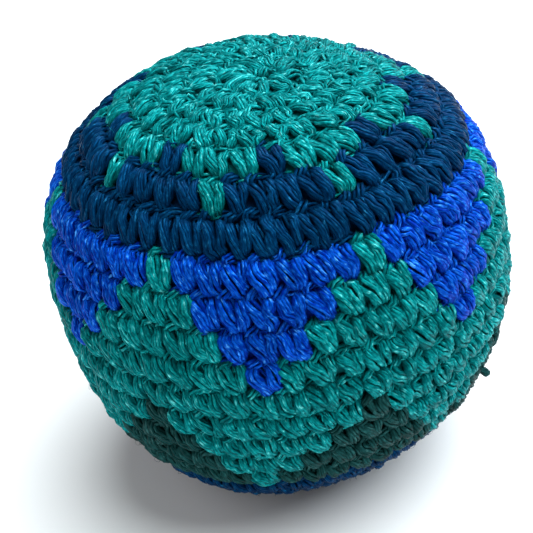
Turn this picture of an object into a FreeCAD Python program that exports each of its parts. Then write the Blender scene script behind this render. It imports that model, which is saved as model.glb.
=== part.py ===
"""Crocheted juggling ball: a tapestry-crochet cotton cover over a tied liner pouch full of pellets.

Frame: millimetres, +Z up along the axis that the rounds of crochet turn about. The origin is at the
middle of the small flat patch that the ball rests on. Longitude 0 looks along -Y and grows towards +X.
"""
import FreeCAD, Part
import math
import os

# Driving dimensions of the outer shape
EQUATOR_RADIUS = 33.0
CROWN_HEIGHT = 28.7        # from the widest level up to the crown pole
BASE_DEPTH = 33.2          # from the widest level down to where the lower pole would be, if nothing settled
FULLNESS = 2.365           # exponent of the meridian: 2 is an ellipse, and more is squarer
REST_PATCH_RADIUS = 12.0   # the settled flat patch under the ball
COVER_THICKNESS = 3.4      # two thicknesses of yarn

# The stitch chart: 56 stitches in each full round, seven pattern repeats of eight stitches
FULL_ROUND_STITCHES = 56
PATTERN_REPEATS = 7
TRIANGLE_WIDTHS = (7, 5, 3, 1)   # stitches in each round of a triangle, from its wide side to its tip
CROWN_STITCHES = (8, 16, 24, 30, 36, 45, 56)   # in each crown round, from the pole outwards
STAR_POINTS = 9
STAR_POINT_STITCHES = {5: 3, 6: 1}   # green stitches in each of the star's nine sectors, by crown round
POLE_RING_RADIUS = 2.2               # outer radius of the drawn-in ring at each pole

# Heights of the rounds, measured along the meridian
CROWN_ROUND_HEIGHTS = (4.3, 3.7, 3.7, 3.8, 4.6, 5.0, 5.4)
BLUE_ROUND_HEIGHT = 4.57
SLATE_ROUND_HEIGHT = 4.08
LOWER_SIDE_ROUNDS = 5            # rounds between the slate triangles and the flat patch
PATCH_ROUNDS = 3                 # rounds in the flat patch

# Where the pattern starts, and how far each round of single crochet leans from the one above
FIRST_BLUE_ROUND_LONGITUDE = -4.0
LEAN_PER_ROUND = -0.8
STAR_POINT_LONGITUDE = -18.2

# Inside the cover
LINER_GAP = 0.3
LINER_THICKNESS = 0.6
LINER_CROWN_THICKNESS = 0.72     # where the gathers meet over the dimple
LINER_DIMPLE_RADIUS = 7.5
LINER_DIMPLE_HEIGHT = 6.0
LINER_NECK_RADIUS = 1.6
LINER_TIE_THREAD_RADIUS = 0.4
PELLET_RADIUS = 3.5
PELLET_SPACING = 7.1
PELLET_CLEARANCE = 0.1

# Small yarn details
RING_YARN_RADIUS = 0.85
CLOSING_RING_RECESS = 0.3
STARTING_LOOP_THICKNESS = 2.2
STARTING_LOOP_ROUNDING = 0.6
TAIL_RADIUS = 0.55
TAIL_LENGTH = 1.8
TAIL_LONGITUDE = 60.0
TAIL_ROUND = 15

MERIDIAN_SAMPLES = 6000
TANGENT_STEP = 0.01
SECTION_POINTS = 5
POUCH_STEPS = 24
UP = FreeCAD.Vector(0, 0, 1)
ORIGIN = FreeCAD.Vector(0, 0, 0)

# The flat patch sets how high the widest level sits above the origin
PATCH_ANGLE = math.pi - math.asin((REST_PATCH_RADIUS / EQUATOR_RADIUS) ** (FULLNESS / 2))
EQUATOR_Z = BASE_DEPTH * abs(math.cos(PATCH_ANGLE)) ** (2 / FULLNESS)


def meridian_point(angle, inset=0.0):
    """Radius and height on the meridian, at a parameter of 0 at the crown pole and pi at the lower pole."""
    radius = (EQUATOR_RADIUS - inset) * abs(math.sin(angle)) ** (2 / FULLNESS)
    above = math.cos(angle) > 0
    half_height = (CROWN_HEIGHT if above else BASE_DEPTH) - inset
    rise = half_height * abs(math.cos(angle)) ** (2 / FULLNESS)
    height = EQUATOR_Z + rise if above else EQUATOR_Z - rise
    return radius, max(height, inset)


def meridian_lengths():
    """Length along the outer meridian from the crown pole, at evenly spaced parameters."""
    lengths = [0.0]
    last = meridian_point(0.0)
    for index in range(1, MERIDIAN_SAMPLES + 1):
        point = meridian_point(math.pi * index / MERIDIAN_SAMPLES)
        lengths.append(lengths[-1] + math.dist(point, last))
        last = point
    return lengths


LENGTHS = meridian_lengths()


def angle_at_length(length):
    """Parameter of the meridian at a length measured from the crown pole."""
    index = next(i for i, value in enumerate(LENGTHS) if value >= length)
    before = LENGTHS[index - 1]
    share = (length - before) / (LENGTHS[index] - before)
    return math.pi * (index - 1 + share) / MERIDIAN_SAMPLES


def length_at_angle(angle):
    return LENGTHS[round(angle / math.pi * MERIDIAN_SAMPLES)]


def evenly(start, end, count):
    """The ends of count equal rounds between two lengths, without the start."""
    return [start + (end - start) * step / count for step in range(1, count + 1)]


def round_edges():
    """Meridian parameter at the edges of every round: round k lies between entries k - 1 and k."""
    patch_start = length_at_angle(PATCH_ANGLE)
    whole = LENGTHS[-1]
    lengths = [POLE_RING_RADIUS]
    for height in CROWN_ROUND_HEIGHTS:
        lengths.append(lengths[-1] + height)
    crown_end = lengths[-1]
    blue_end = crown_end + len(TRIANGLE_WIDTHS) * BLUE_ROUND_HEIGHT
    slate_end = blue_end + (1 + len(TRIANGLE_WIDTHS)) * SLATE_ROUND_HEIGHT
    lengths += evenly(crown_end, blue_end, len(TRIANGLE_WIDTHS))
    lengths += evenly(blue_end, slate_end, 1 + len(TRIANGLE_WIDTHS))
    lengths += evenly(slate_end, patch_start, LOWER_SIDE_ROUNDS)
    lengths += evenly(patch_start, whole - POLE_RING_RADIUS, PATCH_ROUNDS)
    angles = [angle_at_length(length) for length in lengths]
    angles[-1 - PATCH_ROUNDS] = PATCH_ANGLE
    return angles


ROUND_EDGES = round_edges()
CROWN_ROUNDS = len(CROWN_ROUND_HEIGHTS)
FIRST_BLUE_ROUND = CROWN_ROUNDS + 1
GREEN_ROUND = FIRST_BLUE_ROUND + len(TRIANGLE_WIDTHS)
FIRST_SLATE_ROUND = GREEN_ROUND + 1
FIRST_LOWER_ROUND = FIRST_SLATE_ROUND + len(TRIANGLE_WIDTHS)
LAST_ROUND = len(ROUND_EDGES) - 1


def repeat_longitude(round_number):
    """Longitude of the middle of the first blue triangle's column in a round."""
    return FIRST_BLUE_ROUND_LONGITUDE + LEAN_PER_ROUND * (round_number - FIRST_BLUE_ROUND)


def flat(point):
    """A radius and height as a point on longitude 0."""
    return FreeCAD.Vector(0, -point[0], point[1])


def straight(start, end):
    return Part.LineSegment(start, end).toShape()


def meridian_edge(start, end, inset):
    """The curve between two parameters, or a straight line where the ball is flat underneath."""
    if start >= PATCH_ANGLE:
        return straight(flat(meridian_point(start, inset)), flat(meridian_point(end, inset)))
    steps = SECTION_POINTS - 1
    angles = [start + (end - start) * step / steps for step in range(SECTION_POINTS)]
    curve = Part.BSplineCurve()
    curve.interpolate([flat(meridian_point(angle, inset)) for angle in angles])
    return curve.toShape()


def round_section(round_number):
    """Cross-section of the cover in one round, on longitude 0."""
    start = ROUND_EDGES[round_number - 1]
    end = ROUND_EDGES[round_number]
    outside = meridian_edge(start, end, 0.0)
    inside = meridian_edge(start, end, COVER_THICKNESS)
    upper = straight(inside.Vertexes[0].Point, outside.Vertexes[0].Point)
    lower = straight(outside.Vertexes[-1].Point, inside.Vertexes[-1].Point)
    return Part.Face(Part.Wire(Part.sortEdges([upper, outside, lower, inside])[0]))


def sector(round_number, middle, width):
    """Part of one round of the cover, centred on a longitude and width degrees wide."""
    solid = round_section(round_number).revolve(ORIGIN, UP, width)
    solid.rotate(ORIGIN, UP, middle - width / 2)
    return solid


def full_round(round_number):
    return round_section(round_number).revolve(ORIGIN, UP, 360)


def joined(solids):
    """One solid from pieces that meet face to face."""
    shape = solids[0].multiFuse(solids[1:]) if len(solids) > 1 else solids[0]
    return shape.Solids[0] if len(shape.Solids) == 1 else shape


def triangle(first_round, widths, longitude_offset):
    """One triangle of the pattern, a stack of sectors whose widths are counted in stitches."""
    stitch = 360 / FULL_ROUND_STITCHES
    solids = []
    for step, stitches in enumerate(widths):
        round_number = first_round + step
        middle = repeat_longitude(round_number) + longitude_offset
        solids.append(sector(round_number, middle, stitches * stitch))
    return solids


def star_point_width(round_number):
    """Degrees of a crown round that each point of the star takes up."""
    return 360 * STAR_POINT_STITCHES[round_number] / CROWN_STITCHES[round_number - 1]


def star_sectors(round_number):
    """The green share of a crown round, as the star's separate points."""
    sector_width = 360 / STAR_POINTS
    green = star_point_width(round_number)
    return [
        sector(round_number, STAR_POINT_LONGITUDE + sector_width * point, green)
        for point in range(STAR_POINTS)
    ]


def star_gaps(round_number):
    """The petrol share of a crown round, between the star's points."""
    sector_width = 360 / STAR_POINTS
    gap = sector_width - star_point_width(round_number)
    return [
        sector(round_number, STAR_POINT_LONGITUDE + sector_width * (point + 0.5), gap)
        for point in range(STAR_POINTS)
    ]


def crown_star():
    solids = [full_round(number) for number in range(1, min(STAR_POINT_STITCHES))]
    for number in STAR_POINT_STITCHES:
        solids += star_sectors(number)
    return joined(solids)


def upper_petrol_band():
    solids = [full_round(CROWN_ROUNDS)]
    for number in STAR_POINT_STITCHES:
        solids += star_gaps(number)
    return joined(solids)


def green_zigzag_band():
    """The green between the blue triangles, one whole round, and the green between the slate triangles."""
    repeat = 360 / PATTERN_REPEATS
    widths_up = [FULL_ROUND_STITCHES // PATTERN_REPEATS - width for width in TRIANGLE_WIDTHS]
    solids = [full_round(GREEN_ROUND)]
    for index in range(PATTERN_REPEATS):
        solids += triangle(FIRST_BLUE_ROUND, widths_up, repeat * (index + 0.5))
        solids += triangle(FIRST_SLATE_ROUND, TRIANGLE_WIDTHS, repeat * index)
    return joined(solids)


def lower_petrol_base():
    return joined([full_round(number) for number in range(FIRST_LOWER_ROUND, LAST_ROUND + 1)])


def closing_ring():
    """The yarn's end drawn through the last round, which shuts the crown."""
    middle_radius = POLE_RING_RADIUS - RING_YARN_RADIUS
    crown = meridian_point(ROUND_EDGES[0])[1]
    centre = FreeCAD.Vector(0, 0, crown - RING_YARN_RADIUS - CLOSING_RING_RECESS)
    return Part.makeTorus(middle_radius, RING_YARN_RADIUS, centre, UP)


def starting_loop():
    """The loop that the first round is worked into, pulled tight: a plug with its inner edge rounded."""
    plug = Part.makeCylinder(POLE_RING_RADIUS, STARTING_LOOP_THICKNESS)
    inner_edges = [edge for edge in plug.Edges if edge.BoundBox.ZMin > STARTING_LOOP_THICKNESS / 2]
    return plug.makeFillet(STARTING_LOOP_ROUNDING, inner_edges)


def ball_body(first_round, last_round):
    """Everything inside the outer surface over a few rounds, for trimming what stands on it."""
    solids = []
    for number in range(first_round, last_round + 1):
        start = ROUND_EDGES[number - 1]
        end = ROUND_EDGES[number]
        outside = meridian_edge(start, end, 0.0)
        top = outside.Vertexes[0].Point
        bottom = outside.Vertexes[-1].Point
        axis_top = FreeCAD.Vector(0, 0, top.z)
        axis_bottom = FreeCAD.Vector(0, 0, bottom.z)
        corners = [bottom, axis_bottom, axis_top, top]
        edges = [outside] + [straight(a, b) for a, b in zip(corners, corners[1:])]
        solids.append(Part.Face(Part.Wire(Part.sortEdges(edges)[0])).revolve(ORIGIN, UP, 360))
    return joined(solids)


def yarn_tail():
    """The snipped end of slate yarn that pokes out beside a slate triangle."""
    angle = (ROUND_EDGES[TAIL_ROUND - 1] + ROUND_EDGES[TAIL_ROUND]) / 2
    foot = flat(meridian_point(angle, TAIL_LENGTH))
    ahead = flat(meridian_point(angle + TANGENT_STEP)) - flat(meridian_point(angle - TANGENT_STEP))
    outward = FreeCAD.Vector(0, ahead.z, -ahead.y).normalize()
    if outward.y > 0:
        outward = outward * -1
    stalk = Part.makeCylinder(TAIL_RADIUS, 2 * TAIL_LENGTH - TAIL_RADIUS, foot, outward)
    end = Part.makeSphere(TAIL_RADIUS, foot + outward * (2 * TAIL_LENGTH - TAIL_RADIUS))
    tail = stalk.fuse(end).cut(ball_body(TAIL_ROUND - 1, TAIL_ROUND + 1))
    tail.rotate(ORIGIN, UP, TAIL_LONGITUDE)
    return max(tail.Solids, key=lambda solid: solid.Volume)


def pouch_outline(inset, dimple_radius, dimple_top, neck_radius, neck_end):
    """A closed outline of the pouch on longitude 0, from the crown round to the dimple under the ball."""
    floor_share = (EQUATOR_Z - inset) / (BASE_DEPTH - inset)
    floor_angle = math.pi - math.acos(floor_share ** (FULLNESS / 2))
    angles = [floor_angle * step / POUCH_STEPS for step in range(POUCH_STEPS + 1)]
    side = Part.BSplineCurve()
    side.interpolate([flat(meridian_point(angle, inset)) for angle in angles])
    edges = [side.toShape()]
    path = [
        side.EndPoint,
        FreeCAD.Vector(0, -dimple_radius, side.EndPoint.z),
        FreeCAD.Vector(0, -neck_radius, dimple_top),
    ]
    if neck_end < dimple_top:
        path.append(FreeCAD.Vector(0, -neck_radius, neck_end))
    path.append(FreeCAD.Vector(0, 0, neck_end))
    path.append(side.StartPoint)
    edges += [straight(a, b) for a, b in zip(path, path[1:])]
    return Part.Face(Part.Wire(Part.sortEdges(edges)[0]))


def liner_pouch():
    """A thin cloth pouch, gathered to a tied neck in a dimple under the pellets."""
    outer_inset = COVER_THICKNESS + LINER_GAP
    inner_inset = outer_inset + LINER_THICKNESS
    dimple_top = outer_inset + LINER_DIMPLE_HEIGHT
    neck_end = outer_inset + LINER_THICKNESS
    outer = pouch_outline(outer_inset, LINER_DIMPLE_RADIUS, dimple_top, LINER_NECK_RADIUS, neck_end)
    inner_top = dimple_top + LINER_CROWN_THICKNESS
    inner_radius = LINER_DIMPLE_RADIUS + LINER_THICKNESS
    inner_neck = LINER_NECK_RADIUS + LINER_THICKNESS / 2
    inner = pouch_outline(inner_inset, inner_radius, inner_top, inner_neck, inner_top)
    return outer.revolve(ORIGIN, UP, 360).cut(inner.revolve(ORIGIN, UP, 360))


def liner_tie():
    """The thread wound round the pouch's neck."""
    height = COVER_THICKNESS + LINER_GAP + LINER_DIMPLE_HEIGHT / 2
    radius = LINER_NECK_RADIUS + LINER_TIE_THREAD_RADIUS
    return Part.makeTorus(radius, LINER_TIE_THREAD_RADIUS, FreeCAD.Vector(0, 0, height), UP)


def inside_pouch(x, y, z):
    """Whether a pellet centred here is clear of the pouch and of its dimple."""
    inset = COVER_THICKNESS + LINER_GAP + LINER_THICKNESS + PELLET_RADIUS + PELLET_CLEARANCE
    half_height = (CROWN_HEIGHT if z > EQUATOR_Z else BASE_DEPTH) - inset
    across = math.hypot(x, y)
    fullness = (across / (EQUATOR_RADIUS - inset)) ** FULLNESS
    fullness += (abs(z - EQUATOR_Z) / half_height) ** FULLNESS
    dimple_reach = LINER_DIMPLE_RADIUS + LINER_THICKNESS + PELLET_RADIUS + PELLET_CLEARANCE
    dimple_top = inset + LINER_DIMPLE_HEIGHT + LINER_THICKNESS
    over_dimple = across < dimple_reach and z < dimple_top
    return fullness < 1 and z > inset and not over_dimple


def pellets():
    """The fill: round pellets packed in close layers."""
    row_step = PELLET_SPACING * math.sqrt(3) / 2
    layer_step = PELLET_SPACING * math.sqrt(2 / 3)
    reach = math.ceil(EQUATOR_RADIUS / row_step) + 1
    lowest = COVER_THICKNESS + LINER_GAP + LINER_THICKNESS + PELLET_RADIUS + 2 * PELLET_CLEARANCE
    solids = []
    for layer in range(math.ceil((CROWN_HEIGHT + BASE_DEPTH) / layer_step)):
        z = lowest + layer * layer_step
        shift = (layer % 2) * PELLET_SPACING / (2 * math.sqrt(3))
        for row in range(-reach, reach + 1):
            y = row * row_step + shift
            for column in range(-reach, reach + 1):
                x = (column + (row % 2) / 2 + (layer % 2) / 2) * PELLET_SPACING
                if inside_pouch(x, y, z):
                    solids.append(Part.makeSphere(PELLET_RADIUS, FreeCAD.Vector(x, y, z)))
    return Part.makeCompound(solids)


def save(name, shape):
    shape.exportStep(f"parts/{name}.step")
    print(f"{name}: {len(shape.Solids)} solid(s), {shape.Volume:.0f} mm3, valid {shape.isValid()}")


os.makedirs("parts", exist_ok=True)
repeat_width = 360 / PATTERN_REPEATS
save("closing_ring", closing_ring())
save("crown_star", crown_star())
save("upper_petrol_band", upper_petrol_band())
for number in range(PATTERN_REPEATS):
    longitude = repeat_width * number
    save(f"blue_triangle_{number + 1}", joined(triangle(FIRST_BLUE_ROUND, TRIANGLE_WIDTHS, longitude)))
save("green_zigzag_band", green_zigzag_band())
for number in range(PATTERN_REPEATS):
    longitude = repeat_width * (number + 0.5)
    widths = TRIANGLE_WIDTHS[::-1]
    save(f"slate_triangle_{number + 1}", joined(triangle(FIRST_SLATE_ROUND, widths, longitude)))
save("lower_petrol_base", lower_petrol_base())
save("starting_loop", starting_loop())
save("yarn_tail", yarn_tail())
save("liner_pouch", liner_pouch())
save("liner_tie", liner_tie())
save("pellets", pellets())
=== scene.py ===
"""Looks of the crocheted juggling ball: every stitch of the cover is modelled as plied cotton yarn.

Lengths are in metres, in the frame's own axes. Longitude 0 looks along -Y and grows towards +X. A place on
the cover is a longitude, a length along the meridian from the crown pole, and a height above the cover's
outer surface, which is negative inside it.
"""

import bpy
import math
import numpy as np
from mathutils import Matrix, Vector


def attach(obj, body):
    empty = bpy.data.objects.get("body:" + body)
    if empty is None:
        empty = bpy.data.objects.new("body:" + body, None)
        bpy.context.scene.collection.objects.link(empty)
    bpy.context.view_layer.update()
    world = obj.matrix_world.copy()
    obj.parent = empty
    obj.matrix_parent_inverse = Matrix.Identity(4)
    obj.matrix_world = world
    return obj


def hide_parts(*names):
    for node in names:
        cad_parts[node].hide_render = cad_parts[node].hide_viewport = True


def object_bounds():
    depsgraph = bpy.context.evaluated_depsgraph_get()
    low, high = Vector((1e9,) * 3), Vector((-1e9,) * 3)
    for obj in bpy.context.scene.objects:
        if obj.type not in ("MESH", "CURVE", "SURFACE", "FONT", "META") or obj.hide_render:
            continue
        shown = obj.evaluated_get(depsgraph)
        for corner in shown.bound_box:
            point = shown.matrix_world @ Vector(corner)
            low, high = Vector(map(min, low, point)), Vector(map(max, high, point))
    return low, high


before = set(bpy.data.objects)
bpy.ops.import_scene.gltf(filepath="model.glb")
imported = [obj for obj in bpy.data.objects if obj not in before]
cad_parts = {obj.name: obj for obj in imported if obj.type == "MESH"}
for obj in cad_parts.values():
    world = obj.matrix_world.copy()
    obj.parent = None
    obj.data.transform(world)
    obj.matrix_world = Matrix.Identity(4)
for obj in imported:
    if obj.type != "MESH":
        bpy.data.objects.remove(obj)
CAD_LOW, CAD_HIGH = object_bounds()
MM = 0.001

# ---------------------------------------------------------------- the ball's meridian
EQUATOR_RADIUS = (CAD_HIGH.x - CAD_LOW.x) / 2
CROWN_HEIGHT = 28.7 * MM
BASE_DEPTH = 33.2 * MM
FULLNESS = 2.365
REST_PATCH_RADIUS = 12.0 * MM
PATCH_ANGLE = math.pi - math.asin((REST_PATCH_RADIUS / EQUATOR_RADIUS) ** (FULLNESS / 2))
EQUATOR_Z = BASE_DEPTH * abs(math.cos(PATCH_ANGLE)) ** (2 / FULLNESS)

# ---------------------------------------------------------------- the stitch chart, with angles in degrees
FULL_ROUND = 56
REPEATS = 7
TRIANGLE_WIDTHS = (7, 5, 3, 1)
CROWN_STITCHES = (8, 16, 24, 30, 36, 45, 56)
STAR_POINTS = 9
STAR_POINT_STITCHES = {5: 3, 6: 1}
BASE_INCREASE = 8
POLE_RING_RADIUS = 2.2 * MM
CROWN_ROUND_HEIGHTS = tuple(height * MM for height in (4.3, 3.7, 3.7, 3.8, 4.6, 5.0, 5.4))
BLUE_ROUND_HEIGHT = 4.57 * MM
SLATE_ROUND_HEIGHT = 4.08 * MM
LOWER_SIDE_ROUNDS = 5
PATCH_ROUNDS = 3
FIRST_BLUE_LONGITUDE = -4.0
LEAN_PER_ROUND = -0.8
STAR_POINT_LONGITUDE = -18.2
CROWN_ROUNDS = len(CROWN_STITCHES)
FIRST_POINTS = min(STAR_POINT_STITCHES)
FIRST_BLUE = CROWN_ROUNDS + 1
GREEN_ROUND = FIRST_BLUE + len(TRIANGLE_WIDTHS)
FIRST_SLATE = GREEN_ROUND + 1
FIRST_LOWER = FIRST_SLATE + len(TRIANGLE_WIDTHS)

# ---------------------------------------------------------------- the yarn
YARN_RADIUS = 0.92 * MM
FULL_STITCH_WIDTH = 3.7 * MM
TWIST_LENGTH = 17 * MM      # length in which a ply goes once round the yarn
PLY_RADIUS = 0.33           # of a yarn of radius 1
PLY_REACH = 0.69            # how far a ply's middle is from the yarn's middle
LEG = {"plies": 10, "sides": 5, "rings": 11}   # how finely each kind of strand is modelled
LOOP = {"plies": 6, "sides": 4, "rings": 7}
FILLING = {"plies": 5, "sides": 4, "rings": 5}
PLY_WANDER = 0.17           # how far a ply strays round the yarn, in radians
REACH_WANDER = 0.07         # and in and out, as a share of its reach
PLY_SIZE_SPREAD = 0.08
PLY_TINT_SPREAD = 0.16
LEG_SIZE_SPREAD = 0.09
LOOP_TWIST = 1.4            # in turns for each twist length, as the legs' own twists are
SNUG_LIMITS = (0.84, 1.12)  # how far the yarn gives where stitches are narrow or wide
LEG_SLACK = (0.036, 0.034, 0.10)   # random slack across, down and out, in the units of the control points
LOOP_SLACK = (0.04, 0.04, 0.12)
FIBRE_SLACK = (0.03, 0.03, 0.08)
CROWN_LOOSENESS = 1.7       # the star's first rounds are worked more loosely
SIDE_RELIEF = 0.90          # height of the stitches, as a share of their control points' height
CROWN_SPREAD = 1.14         # the crown's stitches open wider than the side's, on thinner legs
CROWN_LEG_WIDTH = 0.88
STAR_RELIEF = 0.60          # the star's first rounds lie flatter than the side
PETROL_RELIEF = 0.82        # and the crown's petrol stitches a little flatter
PLY_SIDE_SHADE = 0.35       # how much a ply's own side counts beside its place in the yarn, in the painted shade

# ---------------------------------------------------------------- stray fibres, in a stitch's own units
STRAY_FIBRES = 1            # for each stitch
CROWN_STRAY_FIBRES = 4
FIBRE_RINGS = 7
FIBRE_SIDES = 3
FIBRE_RADIUS = 0.018 * MM
FIBRE_STARTS = ((-0.45, 0.05), (0.45, 0.85))   # opposite corners of the patch that they start in
FIBRE_REACH = (0.15, 0.42)
FIBRE_COURSE = (0.0, 0.33, 0.7, 1.0)           # share of the reach at each control point
FIBRE_ARCH = (0.0, 0.8, 1.0, 0.6)              # and share of the rise
FIBRE_ROOT = -0.6
FIBRE_RISE = 0.7
FIBRE_LIFT = (2.0, 0.07)                       # shape and scale of the random part of the rise

# ---------------------------------------------------------------- the crown's true centre
CROWN_SHIFT = (1.0 * MM, -2.4 * MM)   # the first rounds were begun this far from the ball's axis
SHIFT_REACH = 17.7 * MM               # length from the pole at which the rounds are true again

# Slight hollows in the ball: longitude, length from the crown pole, depth (negative in a swelling) and spread
HOLLOWS = (
    (143.0, 27.0 * MM, 0.9 * MM, 9.0 * MM),
    (-78.0, 60.0 * MM, 0.8 * MM, 10.0 * MM),
    (31.0, 78.0 * MM, 0.3 * MM, 6.0 * MM),
    (77.0, 58.0 * MM, -0.6 * MM, 9.0 * MM),
    (-20.0, 80.0 * MM, -0.6 * MM, 8.0 * MM),
)

# ---------------------------------------------------------------- small parts and the inside
RING_RADIUS = 1.35 * MM
RING_SWEEP = 400.0           # degrees, so that the drawn-in end laps over its start
RING_YARN_RADIUS = 0.75 * YARN_RADIUS
TAIL_LONGITUDE = 60.0
TAIL_ROUND = 15
TAIL_RADIUS = 0.60 * MM
COVER_THICKNESS = 3.4 * MM
LINER_GAP = 0.3 * MM
LINER_DIMPLE_RADIUS = 7.5 * MM
LINER_DIMPLE_HEIGHT = 6.0 * MM
LINER_INSET = COVER_THICKNESS + LINER_GAP
LINER_NECK_HEIGHT = LINER_INSET + LINER_DIMPLE_HEIGHT / 2
LINER_NECK_RADIUS = 1.6 * MM
GATHER_REACH = 9 * MM        # radius over which the neck's gathers die away
GATHER_START = 2 * MM        # and the one inside which they close up again
TIE_RADIUS = 0.4 * MM
TIE_TWIST = 5.0
THREAD_PITCH = 0.35 * MM

# Every piece of yarn has a seed of its own
COVER_SEEDS = range(100, 200)
CLOSING_RING_SEED = 301
STARTING_LOOP_SEED = 302
TAIL_SEED = 303
TIE_SEED = 304


def meridian_table(samples=4001):
    """Radius, height and length from the crown pole, sampled along the outer meridian."""
    angle = np.linspace(0, math.pi, samples)
    radius = EQUATOR_RADIUS * np.abs(np.sin(angle)) ** (2 / FULLNESS)
    above = np.cos(angle) > 0
    rise = np.where(above, CROWN_HEIGHT, -BASE_DEPTH) * np.abs(np.cos(angle)) ** (2 / FULLNESS)
    height = np.maximum(EQUATOR_Z + rise, 0)
    steps = np.hypot(np.diff(radius), np.diff(height))
    return radius, height, np.concatenate([[0], np.cumsum(steps)]), angle


TABLE_RADIUS, TABLE_HEIGHT, TABLE_LENGTH, TABLE_ANGLE = meridian_table()
MERIDIAN_LENGTH = TABLE_LENGTH[-1]


def meridian(length):
    """Radius and height at a length from the crown pole."""
    return np.interp(length, TABLE_LENGTH, TABLE_RADIUS), np.interp(length, TABLE_LENGTH, TABLE_HEIGHT)


def wrapped(value, period):
    """Signed distance to the nearest multiple of a period."""
    return (value + period / 2) % period - period / 2


def settled(longitude, length):
    """How far the soft cover stands off its true form: the fill has slumped a little from these places."""
    stands = np.zeros_like(longitude + length)
    for centre_longitude, centre_length, depth, spread in HOLLOWS:
        across = np.radians(np.abs(wrapped(longitude - centre_longitude, 360))) * meridian(length)[0]
        stands = stands - depth * np.exp(-(across ** 2 + (length - centre_length) ** 2) / (2 * spread ** 2))
    return stands


def crown_height(radius):
    """Height of the upper half of the cover at a radius."""
    upper = TABLE_ANGLE < math.pi / 2
    return np.interp(radius, TABLE_RADIUS[upper], TABLE_HEIGHT[upper])


def meridian_normal(length, reach=0.9 * MM):
    """Outward direction as (radial, vertical), smoothed over a little of the meridian."""
    before = meridian(np.clip(length - reach, 0, MERIDIAN_LENGTH))
    after = meridian(np.clip(length + reach, 0, MERIDIAN_LENGTH))
    along_r = after[0] - before[0]
    along_z = after[1] - before[1]
    size = np.hypot(along_r, along_z)
    return -along_z / size, along_r / size


def on_cover(longitude, length, height):
    """Points in space for places on the cover, as an array with x, y, z last."""
    radius, z = meridian(length)
    out_r, out_z = meridian_normal(length)
    height = height + settled(longitude, length)
    lon = np.radians(longitude)
    fade = np.clip(1 - (length / SHIFT_REACH) ** 2, 0, 1) ** 1.5
    x = radius * np.sin(lon) + CROWN_SHIFT[0] * fade
    y = -radius * np.cos(lon) + CROWN_SHIFT[1] * fade
    moved = np.hypot(x, y)
    z = z + np.where(length < SHIFT_REACH, crown_height(moved) - crown_height(radius), 0)
    x = x + height * out_r * np.sin(lon)
    y = y - height * out_r * np.cos(lon)
    return np.stack([x, y, z + height * out_z], axis=-1)


def outward(longitude, length):
    """Unit normals of the cover at these places."""
    out_r, out_z = meridian_normal(length)
    lon = np.radians(longitude)
    return np.stack([out_r * np.sin(lon), -out_r * np.cos(lon), out_z], axis=-1)


def evenly(start, end, count):
    return [start + (end - start) * step / count for step in range(1, count + 1)]


def round_edges():
    """Length from the crown pole at the edges of every round: round k lies between entries k - 1 and k."""
    patch_start = float(np.interp(PATCH_ANGLE, TABLE_ANGLE, TABLE_LENGTH))
    edges = [POLE_RING_RADIUS]
    for height in CROWN_ROUND_HEIGHTS:
        edges.append(edges[-1] + height)
    crown_end = edges[-1]
    blue_end = crown_end + len(TRIANGLE_WIDTHS) * BLUE_ROUND_HEIGHT
    slate_end = blue_end + (1 + len(TRIANGLE_WIDTHS)) * SLATE_ROUND_HEIGHT
    edges += evenly(crown_end, blue_end, len(TRIANGLE_WIDTHS))
    edges += evenly(blue_end, slate_end, 1 + len(TRIANGLE_WIDTHS))
    edges += evenly(slate_end, patch_start, LOWER_SIDE_ROUNDS)
    edges += evenly(patch_start, MERIDIAN_LENGTH - POLE_RING_RADIUS, PATCH_ROUNDS)
    return edges


EDGES = round_edges()
LAST_ROUND = len(EDGES) - 1


def stitch_count(number):
    """Stitches in a round: eight more in each round out from the base, up to the full round."""
    if number <= CROWN_ROUNDS:
        return CROWN_STITCHES[number - 1]
    return min(FULL_ROUND, BASE_INCREASE * (LAST_ROUND + 1 - number))


def column_longitude(number):
    return FIRST_BLUE_LONGITUDE + LEAN_PER_ROUND * (number - FIRST_BLUE)


def stitch_longitude(number, index):
    """Longitude of the middle of a stitch."""
    count = stitch_count(number)
    first = column_longitude(number) if count == FULL_ROUND else STAR_POINT_LONGITUDE
    return first + 360 / count * index


def stitch_colour(number, index):
    """Which yarn a stitch is worked in."""
    if number < FIRST_POINTS:
        return "green"
    if number in STAR_POINT_STITCHES:
        sector = 360 / STAR_POINTS
        width = STAR_POINT_STITCHES[number] * 360 / stitch_count(number)
        offset = wrapped(stitch_longitude(number, index) - STAR_POINT_LONGITUDE, sector)
        return "green" if abs(offset) < width / 2 else "petrol"
    if number < FIRST_BLUE or number >= FIRST_LOWER:
        return "petrol"
    across = abs(wrapped(index, FULL_ROUND // REPEATS))
    if number < GREEN_ROUND:
        return "blue" if across <= TRIANGLE_WIDTHS[number - FIRST_BLUE] // 2 else "green"
    if number == GREEN_ROUND:
        return "green"
    return "green" if across <= TRIANGLE_WIDTHS[number - FIRST_SLATE] // 2 else "slate"


# ---------------------------------------------------------------- yarn strands
def smooth_path(points, samples):
    """Catmull-Rom curves through control points (strands, points, 3), sampled evenly in parameter."""
    count = points.shape[1]
    first = 2 * points[:, :1] - points[:, 1:2]
    last = 2 * points[:, -1:] - points[:, -2:-1]
    padded = np.concatenate([first, points, last], axis=1)
    at = np.linspace(0, count - 1 - 1e-9, samples)
    span = at.astype(int)
    t = (at - span)[None, :, None]
    p0, p1, p2, p3 = (padded[:, span + k] for k in range(4))
    return 0.5 * (
        2 * p1 + (p2 - p0) * t
        + (2 * p0 - 5 * p1 + 4 * p2 - p3) * t ** 2
        + (3 * p1 - p0 - 3 * p2 + p3) * t ** 3
    )


def unit(vectors):
    return vectors / np.maximum(np.linalg.norm(vectors, axis=-1, keepdims=True), 1e-12)


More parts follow.
